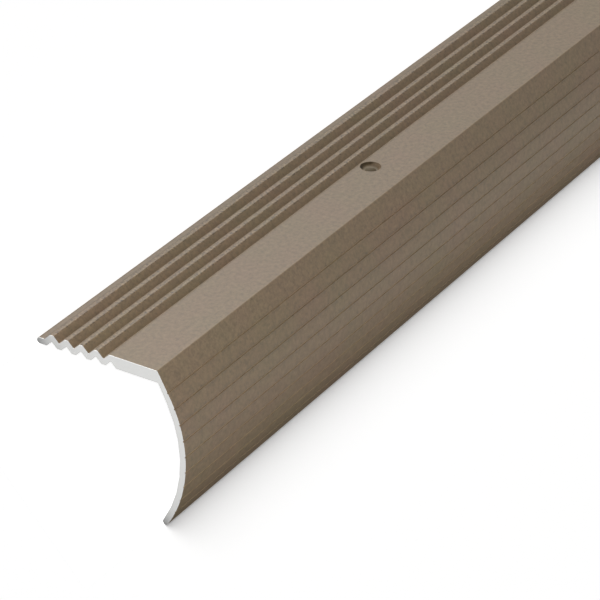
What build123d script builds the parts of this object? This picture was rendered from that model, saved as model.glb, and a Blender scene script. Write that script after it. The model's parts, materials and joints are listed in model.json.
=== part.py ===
from build123d import *
import os
from math import atan2, cos, degrees, radians, sin, sqrt, tan

# Stair nosing: one length of extruded aluminium angle that caps the front edge of a step.
# Its section is drawn the way the trim is screwed down: X points back from the front corner
# and Y points up from the walking surface. The loose length lies on the floor like a tent,
# on its back lip and on the tip of the drop, so the section leans until both touch Z = 0.
# In the finished part X runs along the length, the drop faces -Y and Z points up.

# Stock
length = 900.0
wall = 1.5  # metal of the ribs, the lip and the drop
die_radius = 0.25  # rounding of the corners along the extrusion

# Tread: a flat land behind the corner, then V grooves between flat-topped ribs, then a lip
land_width = 12.95
rib_count = 4
rib_pitch = 4.05
crest_width = 0.95
lip_width = 2.05

# Drop: a flat slope under the corner runs into a bowed wall with a rounded tip
slope_angle = 61.5  # below level, outside
slope_length = 6.1
bow_radius = 34.4
bow_sweep = 60.3
root_angle = 64.5  # below level, inside, where the wall thins towards the land

# Fine half-round grooves along the outside of the drop
score_count = 9
score_pitch = 4.05
score_radius = 0.2
first_score = 5.55  # along the outside, from the front corner

# Countersunk screw holes along the land
hole_count = 4
hole_margin = 108.0  # from a sawn end to the nearest hole
hole_setback = 10.1  # from the front corner
hole_diameter = 3.0
countersink_diameter = 5.3
countersink_angle = 90.0

# The grooves have 45 degree flanks, and V notches underneath keep the ribs one wall thick
groove_depth = (rib_pitch - crest_width) / 2
tread_thickness = groove_depth + wall
notch_roof = groove_depth + wall * sqrt(2) - rib_pitch / 2
notch_depth = tread_thickness - notch_roof
first_groove = land_width + groove_depth
nose_start = first_groove + rib_count * rib_pitch + lip_width - wall / 2
hole_spacing = (length - 2 * hole_margin) / (hole_count - 1)

# Outside of the drop, from the front corner down to the tip
with BuildLine() as drop_outside:
    slope = PolarLine((0, 0), slope_length, angle=180 + slope_angle)
    bow = JernArc(slope @ 1, slope % 1, bow_radius, bow_sweep)
scores = [
    drop_outside.wire().position_at(first_score + i * score_pitch, position_mode=PositionMode.LENGTH)
    for i in range(score_count)
]

# Walking surface, from the foot of the slope over the corner and the ribs to the lip
top_points = [slope @ 1, (0, 0), (land_width, 0)]
for rib in range(rib_count):
    groove = first_groove + rib * rib_pitch
    crest = groove + rib_pitch / 2
    top_points.append((groove, -groove_depth))
    top_points.append((crest - crest_width / 2, 0))
    top_points.append((crest + crest_width / 2, 0))
top_points.append((first_groove + rib_count * rib_pitch, -groove_depth))
top_points.append((nose_start, -groove_depth))

# Underside of the tread, from the lip over the notches to the land
under_points = [(nose_start, -tread_thickness)]
for notch in reversed(range(rib_count + 1)):
    roof = first_groove + notch * rib_pitch - rib_pitch / 2
    under_points.append((roof + notch_depth, -tread_thickness))
    under_points.append((roof, -notch_roof))
    under_points.append((roof - notch_depth, -tread_thickness))

with BuildSketch() as section:
    with BuildLine():
        top = FilletPolyline(*top_points, radius=die_radius)
        nose = JernArc(top @ 1, top % 1, wall / 2, -180)
        add(bow)
        tip = JernArc(bow @ 1, bow % 1, wall / 2, 180)
        inside_sweep = bow_sweep - (root_angle - slope_angle)
        inside = JernArc(tip @ 1, tip % 1, bow_radius - wall, -inside_sweep)
        root_foot = inside @ 1
        root_rise = -tread_thickness - root_foot.Y
        root_top = (root_foot.X + root_rise / tan(radians(root_angle)), -tread_thickness)
        FilletPolyline(*under_points, root_top, root_foot, radius=die_radius)
    make_face()
    with Locations(*scores):
        Circle(score_radius, mode=Mode.SUBTRACT)

# The lip's nose and the drop's tip have one radius, so the line of their centres ends level
rest_line = nose.center_point - tip.center_point
lean = -atan2(rest_line.Y, rest_line.X)
laid = section.sketch.rotate(Axis.Z, degrees(lean)).bounding_box()
lying = Plane((0, -laid.center().X, -laid.min.Y), x_dir=(0, cos(lean), sin(lean)), z_dir=(1, 0, 0))
land = Plane(lying.from_local_coords((hole_setback, 0)), x_dir=(1, 0, 0), z_dir=lying.y_dir)

with BuildPart() as stair_nosing:
    with BuildSketch(lying):
        add(section.sketch)
    extrude(amount=length / 2, both=True)
    with Locations(land):
        with GridLocations(hole_spacing, 1, hole_count, 1):
            CounterSinkHole(
                hole_diameter / 2,
                countersink_diameter / 2,
                depth=2 * tread_thickness,
                counter_sink_angle=countersink_angle,
            )

stair_nosing.part.label = "stair_nosing"
os.makedirs("parts", exist_ok=True)
export_step(stair_nosing.part, "parts/stair_nosing.step")
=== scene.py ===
import json
from math import atan2, pi, radians

import bpy
from mathutils import Matrix, Vector


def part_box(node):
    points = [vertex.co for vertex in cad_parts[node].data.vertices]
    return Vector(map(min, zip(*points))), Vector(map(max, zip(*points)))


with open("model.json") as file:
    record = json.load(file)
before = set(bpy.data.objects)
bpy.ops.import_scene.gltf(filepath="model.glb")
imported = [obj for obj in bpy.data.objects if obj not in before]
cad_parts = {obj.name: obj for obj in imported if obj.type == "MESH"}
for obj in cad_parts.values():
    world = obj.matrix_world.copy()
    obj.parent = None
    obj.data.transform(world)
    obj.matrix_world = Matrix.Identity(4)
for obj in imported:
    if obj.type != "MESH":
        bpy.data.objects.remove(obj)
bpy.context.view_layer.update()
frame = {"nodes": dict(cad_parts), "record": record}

# A stair nosing: one length of brown-coated aluminium extrusion with bare sawn ends. The packed
# solid has its final shape, so this script adds its finish, a pale floor, lamps and the camera.
# Sizes are in metres.
nosing = frame["nodes"]["stair_nosing"]
low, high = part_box("stair_nosing")
half_length = (high.x - low.x) / 2
mounts = {mount["name"]: mount for mount in frame["record"]["mounts"]}

# The trim's own directions: its land leans back, and the screw holes stand square to the land
hole = mounts["screw_hole_1"]
along = Vector((1, 0, 0))
up = Vector(hole["axis"])
front = along.cross(up)
land_lean = atan2(up.y, up.z)

# Front corner of the sawn end nearest the camera, measured from the middle of that hole's bore
hole_setback = 0.0101
bore_middle_below_land = 0.0021
hole_place = Vector(hole["pos_m"]) + front * hole_setback + up * bore_middle_below_land
near_corner = Vector((low.x, hole_place.y, hole_place.z))

# Viewpoint, from the near corner along, in front of and above the land
camera_stand = (-0.47446, 0.33546, 0.35532)
camera_aim = (0.04314, 0.01007, 0)
camera_lens = 185.5  # millimetres

# Coat
coat_colour = (0.240, 0.170, 0.099)
coat_roughness = 0.52
speckle_size = 0.0005
speckle_detail = 3.0
speckle_strength = 0.55
speckle_roughness = 0.2
grain_size = 0.0011
grain_strength = 0.75
cloud_size = 0.012
cloud_strength = 0.10
cloud_tint = (0.06, -0.14, 0.04)
draw_line_width = 0.0006
draw_line_length = 0.12
draw_line_strength = 0.05

# Wear, and a painted highlight along the front corner
wear_and_highlight_depth = 0.0002  # only what lies this near the walking surface is rubbed or painted lighter
corner_width = 0.0004  # the painted highlight reaches this far back from the front corner
# Painted highlight: the front corner is painted this much lighter
corner_painted_highlight = 0.10
land_width = 0.01295  # the ribs start behind this
rib_grain_size = 0.0007
rib_grain_strength = 2.3

# Shade at the foot of the last rib
rib_foot = 0.0307  # back from the front corner
rib_foot_width = 0.0003
rib_foot_shade = 0.18

# Drop: a slope below the front corner, then a bow; scores and painted shade are measured down its
# outside
slope_length = 0.0061
bow_radius = 0.0344
bow_back = 0.02732  # the bow's middle, back from the front corner
bow_down = 0.021776  # and below the land
bow_start = radians(28.5)  # where the slope runs into the bow
drop_skin = 0.0003  # only the outside gets painted light and shade, to this depth
first_score = 0.00555
score_pitch = 0.00405
score_width = 0.0004
# Painted light inside the scores, and painted shade in soft bands along them
score_painted_light = 0.26
score_tilt = 0.35  # painted: the lower half of a score is painted lighter, the upper half darker
score_shade = 0.19
score_shade_width = 0.0011
score_shade_end = 0.028  # further down the scores have no soft shade
score_shade_fade = 0.014
tip_shade = 0.28  # painted shade: the drop is darker towards its tip
tip_shade_start = 0.033
tip_shade_length = 0.009

# Holes: painted shade under the rim on the side of the ribs, and painted light in the bore, lighter
# than the coat
hole_spacing = 0.228
hole_reach = 0.00265
coat_thickness = 0.00003
hole_shade = 0.8
hole_shade_side = (0.22, 0.975)  # along and back
hole_shade_edge = 0.1  # towards that side, as a share of the reach
hole_shade_softness = 0.5
hole_shade_end = 0.00112  # below the land
hole_shade_fade = 0.0007
bore_painted_light_colour = (0.55, 0.48, 0.37, 1)
bore_start = 0.0007  # below the land
bore_depth = 0.0013

# Bare metal
bare_colour = (0.70, 0.70, 0.69)
bare_roughness = 0.6
bare_rim = 0.0001  # the saw leaves this much of the coat's edge bare
saw_radius = 0.15
saw_mark_width = 0.0004
saw_mark_detail = 3.0
saw_mark_strength = 0.06
saw_mark_roughness = 0.2

# Relief of both finishes
relief_strength = 0.25
relief_height = 0.00004

# Floor
floor_size = 16.0
floor_colour = (0.95, 0.95, 0.95, 1)  # as seen
floor_bounce = (0.11, 0.11, 0.11, 1)  # as it lights the trim
floor_glow = 0.285
end_fade = 0.0055  # the sawn ends mirror the white floor from this far out
mirror_start = 0.035  # in front of the trim, from the middle of its width
mirror_fade = 0.05
mirror_share = 0.3
mouth_glow = 0.72  # painted light: lifts the shaded floor under the near end to white
mouth_start = 0.33  # from the middle of the length
mouth_fade = 0.08
mouth_half_width = 0.0249
mouth_reach = 0.03  # past the ends

# Light
sky_light = 0.04
floor_light_side = (-0.30, 0.50, 0.75)
floor_light_spread = radians(46)
floor_light_level = 0.912
middle = (0, 0, 0)
near_end = (low.x, 0, 0)


class Signal:
    """One output socket. Sums, differences, products and quotients of signals add Math nodes."""

    def __init__(self, nodes, socket):
        self.nodes = nodes
        self.socket = socket

    def __add__(self, other):
        return self.nodes.math("ADD", self, other)

    __radd__ = __add__

    def __sub__(self, other):
        return self.nodes.math("SUBTRACT", self, other)

    def __rsub__(self, other):
        return self.nodes.math("SUBTRACT", other, self)

    def __mul__(self, other):
        return self.nodes.math("MULTIPLY", self, other)

    __rmul__ = __mul__

    def __truediv__(self, other):
        return self.nodes.math("DIVIDE", self, other)

    def __rtruediv__(self, other):
        return self.nodes.math("DIVIDE", other, self)

    def __gt__(self, other):
        return self.nodes.math("GREATER_THAN", self, other)

    def __lt__(self, other):
        return self.nodes.math("LESS_THAN", self, other)

    def __abs__(self):
        return self.nodes.math("ABSOLUTE", self)


class Nodes:
    """The node tree of a material or of the world."""

    def __init__(self, owner):
        owner.use_nodes = True
        self.tree = owner.node_tree
        self.tree.nodes.clear()

    def add(self, kind, settings=None, inputs=None, output=0):
        """Adds one node: its settings first, then a value or a link for each named input."""
        node = self.tree.nodes.new(kind)
        for name, value in (settings or {}).items():
            setattr(node, name, value)
        for name, value in (inputs or {}).items():
            if isinstance(value, Signal):
                self.tree.links.new(value.socket, node.inputs[name])
            else:
                node.inputs[name].default_value = value
        return Signal(self, node.outputs[output]) if node.outputs else node

    def math(self, operation, first, second=0.0):
        return self.add("ShaderNodeMath", {"operation": operation}, {0: first, 1: second})

    def root(self, value):
        return self.math("SQRT", value)

    def fraction(self, value):
        return self.math("FRACT", value)

    def larger(self, first, second):
        return self.math("MAXIMUM", first, second)

    def angle(self, rise, run):
        return self.math("ARCTAN2", rise, run)

    def clamp(self, value):
        """The value, kept between zero and one."""
        return self.add("ShaderNodeClamp", inputs={0: value})

    def mix_value(self, share, first, second):
        return first + (second - first) * share

    def vector_math(self, operation, first, second):
        return self.add("ShaderNodeVectorMath", {"operation": operation}, {0: first, 1: second})

    def mix_colour(self, share, first, second):
        return self.add(
            "ShaderNodeMix", {"data_type": "RGBA"}, {0: share, 6: first, 7: second}, output=2
        )

    def scale_colour(self, colour, factor):
        return self.add(
            "ShaderNodeVectorMath", {"operation": "SCALE"}, {0: colour, "Scale": factor}
        )

    def tint_colour(self, colour, share, tint):
        """The colour times one plus a share of the tint, channel by channel."""
        change = self.vector_math("ADD", self.scale_colour(tint, share), (1, 1, 1))
        return self.vector_math("MULTIPLY", change, colour)

    def noise(self, place, size, detail=2.0):
        """Soft random blotches of about the given size, as a value around zero."""
        blotches = self.add(
            "ShaderNodeTexNoise", inputs={"Vector": place, "Scale": 1 / size, "Detail": detail}
        )
        return blotches - 0.5

    def split(self, place):
        """The three coordinates of a place."""
        apart = self.add("ShaderNodeSeparateXYZ", inputs={0: place})
        return [Signal(self, socket) for socket in apart.socket.node.outputs]

    def ray(self, kind):
        return self.add("ShaderNodeLightPath", output=kind)

    def seen_directly(self):
        """One on rays from the camera or through a glass, zero on other rays."""
        return self.ray("Is Camera Ray") + self.ray("Is Transmission Ray")


def drop_shading(nodes, back, height):
    """Painted light and shade on the drop: its scores, the soft bands of shade along them, and its
    darker tip.
    """
    ahead = bow_back - back
    above = height + bow_down
    reach = nodes.root(ahead * ahead + above * above)
    down = slope_length + (bow_start - nodes.angle(above, ahead)) * bow_radius
    on_drop = (reach > bow_radius - drop_skin) * (height < -slope_length / 2)

    # Distance from the nearest score, positive below it
    below = (nodes.fraction((down - first_score) / score_pitch + 0.5) - 0.5) * score_pitch
    aside = abs(below)
    half_score = score_width / 2
    in_score = (aside < half_score) * (score_painted_light + below / half_score * score_tilt)

    # The bands of painted shade start on the slope and fade out down the drop
    band = nodes.clamp(1 - aside / score_shade_width)
    band = band * nodes.clamp((score_shade_end - down) / score_shade_fade)
    band = band * nodes.clamp((down - slope_length / 2) / slope_length)
    near_tip = nodes.clamp((down - tip_shade_start) / tip_shade_length)
    return on_drop * (in_score - band * score_shade - near_tip * tip_shade)


def hole_shading(nodes, from_middle, back, height):
    """Two shares: how far a place is under a hole's rim with painted shade, and how far it is in the
    bore, which is painted lighter.
    """
    # Places in the nearest hole, as shares of its reach; the first holes are half a spacing out
    aside = (nodes.fraction(from_middle / hole_spacing) - 0.5) * hole_spacing / hole_reach
    behind = (back - hole_setback) / hole_reach
    inside = (aside * aside + behind * behind < 1) * (height < -coat_thickness)
    to_shade = aside * hole_shade_side[0] + behind * hole_shade_side[1]
    under_rim = nodes.clamp((to_shade - hole_shade_edge) / hole_shade_softness)
    under_rim = under_rim * nodes.clamp((height + hole_shade_end) / hole_shade_fade)
    in_bore = nodes.clamp((height + bore_start) / (bore_start - bore_depth))
    return inside * under_rim, inside * in_bore


def trim_finish():
    """Matt brown coat with a fine speckle and faint draw lines, and bare metal on the sawn ends."""
    material = bpy.data.materials.new("brown_coat_and_sawn_ends")
    nodes = Nodes(material)
    turn = Matrix.Rotation(land_lean, 3, "X")
    corner_middle = Vector((0, near_corner.y, near_corner.z))

    # Places on the trim: X along from the middle, Y back from the front corner, Z up from the land
    place = nodes.add(
        "ShaderNodeMapping",
        inputs={
            "Vector": nodes.add("ShaderNodeTexCoord", output="Object"),
            "Location": -(turn @ corner_middle),
            "Rotation": (land_lean, 0, 0),
        },
    )
    from_middle, back, height = nodes.split(place)
    sawn = abs(from_middle) > half_length - bare_rim

    # Coat: speckle and grain all over, clouds of two close browns, lines from the die
    speckle = nodes.noise(place, speckle_size, speckle_detail)
    grain = nodes.noise(place, grain_size)
    clouds = nodes.noise(place, cloud_size)
    squeezed = nodes.add(
        "ShaderNodeMapping",
        inputs={"Vector": place, "Scale": (draw_line_width / draw_line_length, 1, 1)},
    )
    draw_lines = nodes.noise(squeezed, draw_line_width)
    shade = 1 + speckle * speckle_strength + grain * grain_strength
    shade = shade + clouds * cloud_strength + draw_lines * draw_line_strength

    # Painted highlight: the front corner is painted lighter. Wear: the tops of the ribs are rubbed
    # uneven
    on_top = height > -wear_and_highlight_depth
    corner = on_top * (back < corner_width)
    rib_tops = on_top * (back > land_width)
    rib_grain = nodes.noise(place, rib_grain_size)
    shade = shade + corner * corner_painted_highlight + rib_tops * rib_grain * rib_grain_strength

    # Painted shade: on the drop, at the foot of the last rib and in the holes; the drop's scores
    # also get painted light
    rib_foot_line = (abs(back - rib_foot) < rib_foot_width) * (height < -wear_and_highlight_depth)
    shade = shade + drop_shading(nodes, back, height) - rib_foot_line * rib_foot_shade
    under_rim, in_bore = hole_shading(nodes, from_middle, back, height)
    shade = shade * (1 - under_rim * hole_shade)
    coat = nodes.scale_colour(nodes.tint_colour(coat_colour, clouds, cloud_tint), shade)
    # Painted light: the bore is lighter than the coat
    coat = nodes.mix_colour(in_bore, coat, bore_painted_light_colour)

    # Bare metal, with the arcs that a saw blade leaves
    blade = nodes.add(
        "ShaderNodeMapping", inputs={"Vector": place, "Location": (0, saw_radius, saw_radius)}
    )
    blade_reach = nodes.add(
        "ShaderNodeVectorMath",
        {"operation": "LENGTH"},
        {0: nodes.vector_math("MULTIPLY", blade, (0, 1, 1))},
        output="Value",
    )
    arcs = nodes.add(
        "ShaderNodeTexNoise",
        {"noise_dimensions": "1D"},
        {"W": blade_reach, "Scale": 1 / saw_mark_width, "Detail": saw_mark_detail},
    )
    saw_marks = arcs - 0.5
    bare = nodes.scale_colour(bare_colour, 1 + saw_marks * saw_mark_strength)

    # Both finishes on one surface
    relief = nodes.add(
        "ShaderNodeBump",
        inputs={
            "Strength": relief_strength,
            "Distance": relief_height,
            "Height": nodes.mix_value(sawn, speckle + draw_lines, saw_marks),
        },
    )
    coat_gloss = coat_roughness + speckle * speckle_roughness
    bare_gloss = bare_roughness + saw_marks * saw_mark_roughness
    # The painted shade under the hole rims is also set as metal, so that it stays dark
    surface = nodes.add(
        "ShaderNodeBsdfPrincipled",
        inputs={
            "Base Color": nodes.mix_colour(sawn, coat, bare),
            "Metallic": nodes.clamp(sawn + under_rim),
            "Roughness": nodes.mix_value(sawn, coat_gloss, bare_gloss),
            "Normal": relief,
        },
    )
    nodes.add("ShaderNodeOutputMaterial", inputs={"Surface": surface})
    return material


def floor_finish():
    """Pale floor: it shows white where nothing shades it and keeps the trim's soft shadow, but under
    the near end's mouth it is painted white.
    """
    material = bpy.data.materials.new("pale_floor")
    nodes = Nodes(material)
    from_middle, across, _ = nodes.split(nodes.add("ShaderNodeTexCoord", output="Object"))
    past_end = abs(from_middle) - half_length

    # In reflections the floor is white past the ends, less so in front, and dull beside the trim
    beyond_ends = nodes.clamp(past_end / end_fade)
    in_front = nodes.clamp((across + mirror_start) / -mirror_fade) * mirror_share
    mirrored = nodes.ray("Is Glossy Ray") * nodes.larger(beyond_ends, in_front)
    direct = nodes.seen_directly()

    # Under the trim the floor glows only near the ends, and the near end's mouth is painted white
    # over its shadow
    under_trim = (abs(across) < mouth_half_width) * (past_end < mouth_reach)
    at_ends = nodes.clamp((abs(from_middle) - mouth_start) / mouth_fade)
    mouth = at_ends * (floor_glow + (from_middle < 0) * mouth_glow)
    glow = direct * nodes.mix_value(under_trim, floor_glow, mouth) + mirrored * floor_glow
    surface = nodes.add(
        "ShaderNodeBsdfPrincipled",
        inputs={
            "Base Color": nodes.mix_colour(direct + mirrored, floor_bounce, floor_colour),
            "Roughness": 1.0,
            "Specular IOR Level": 0.0,
            "Emission Color": nodes.scale_colour((1, 1, 1), glow),
            "Emission Strength": 1.0,
        },
    )
    nodes.add("ShaderNodeOutputMaterial", inputs={"Surface": surface})
    return material


def lay_floor():
    bpy.ops.mesh.primitive_plane_add(size=floor_size)
    floor = bpy.context.object
    floor.name = "floor"
    floor.data.materials.append(floor_finish())
    return floor


def light_sky():
    """Even light from all round, and a white backdrop behind the floor."""
    world = bpy.data.worlds.new("studio")
    nodes = Nodes(world)
    seen = nodes.seen_directly() + nodes.ray("Is Glossy Ray")
    sky = nodes.add(
        "ShaderNodeBackground", inputs={"Strength": nodes.mix_value(seen, sky_light, 1.0)}
    )
    nodes.add("ShaderNodeOutputWorld", inputs={"Surface": sky})
    bpy.context.scene.world = world


def light_only(lamp, lit):
    """Keeps the lamp's light to one object."""
    receivers = bpy.data.collections.new(lamp.name + "_lights")
    receivers.objects.link(lit)
    lamp.light_linking.receiver_collection = receivers


def hang_softbox(name, aim, direction, distance, size, level):
    """A square lamp for the trim alone; level 1 lights a white face turned to it fully."""
    towards = Vector(direction).normalized()
    bpy.ops.object.light_add(type="AREA", location=Vector(aim) + towards * distance)
    lamp = bpy.context.object
    lamp.name = name
    lamp.rotation_euler = towards.to_track_quat("Z", "Y").to_euler()
    lamp.visible_camera = False
    lamp.data.size = size
    lamp.data.energy = level * pi**2 * distance**2
    light_only(lamp, nosing)


def hang_floor_light(floor):
    """A wide and very far lamp: the floor is evenly lit and keeps the trim's soft shadow."""
    bpy.ops.object.light_add(type="SUN")
    lamp = bpy.context.object
    lamp.name = "floor_light"
    lamp.rotation_euler = Vector(floor_light_side).to_track_quat("Z", "Y").to_euler()
    lamp.data.angle = floor_light_spread
    lamp.data.energy = floor_light_level * pi
    light_only(lamp, floor)


def on_trim(place):
    """A place given along, in front of and above the near corner."""
    return near_corner + along * place[0] + front * place[1] + up * place[2]


def set_camera():
    """Looks down on the land, the drop and the near end, with the trim's up as the picture's up."""
    stand = on_trim(camera_stand)
    backwards = (stand - on_trim(camera_aim)).normalized()
    right = up.cross(backwards).normalized()
    turn = Matrix((right, backwards.cross(right), backwards)).transposed()
    bpy.ops.object.camera_add(location=stand, rotation=turn.to_euler())
    camera = bpy.context.object
    camera.data.lens = camera_lens
    bpy.context.scene.camera = camera


nosing.data.materials.clear()
nosing.data.materials.append(trim_finish())
floor = lay_floor()
light_sky()
hang_softbox("back_softbox", middle, (0.40, 0.90, 0.20), distance=4.0, size=1.5, level=0.72)
hang_softbox("top_softbox", near_end, (-0.30, -0.10, 0.95), distance=0.5, size=0.3, level=0.24)
hang_softbox("front_softbox", middle, (0.05, -0.70, 0.71), distance=2.5, size=1.3, level=0.285)
hang_softbox("sheen_softbox", middle, (0.72, -0.68, 0.16), distance=4.0, size=1.0, level=0.035)
hang_softbox("end_softbox", near_end, (-0.80, 0.20, 0.55), distance=0.15, size=0.1, level=0.32)
hang_floor_light(floor)
set_camera()
bpy.context.scene.view_settings.view_transform = "Standard"
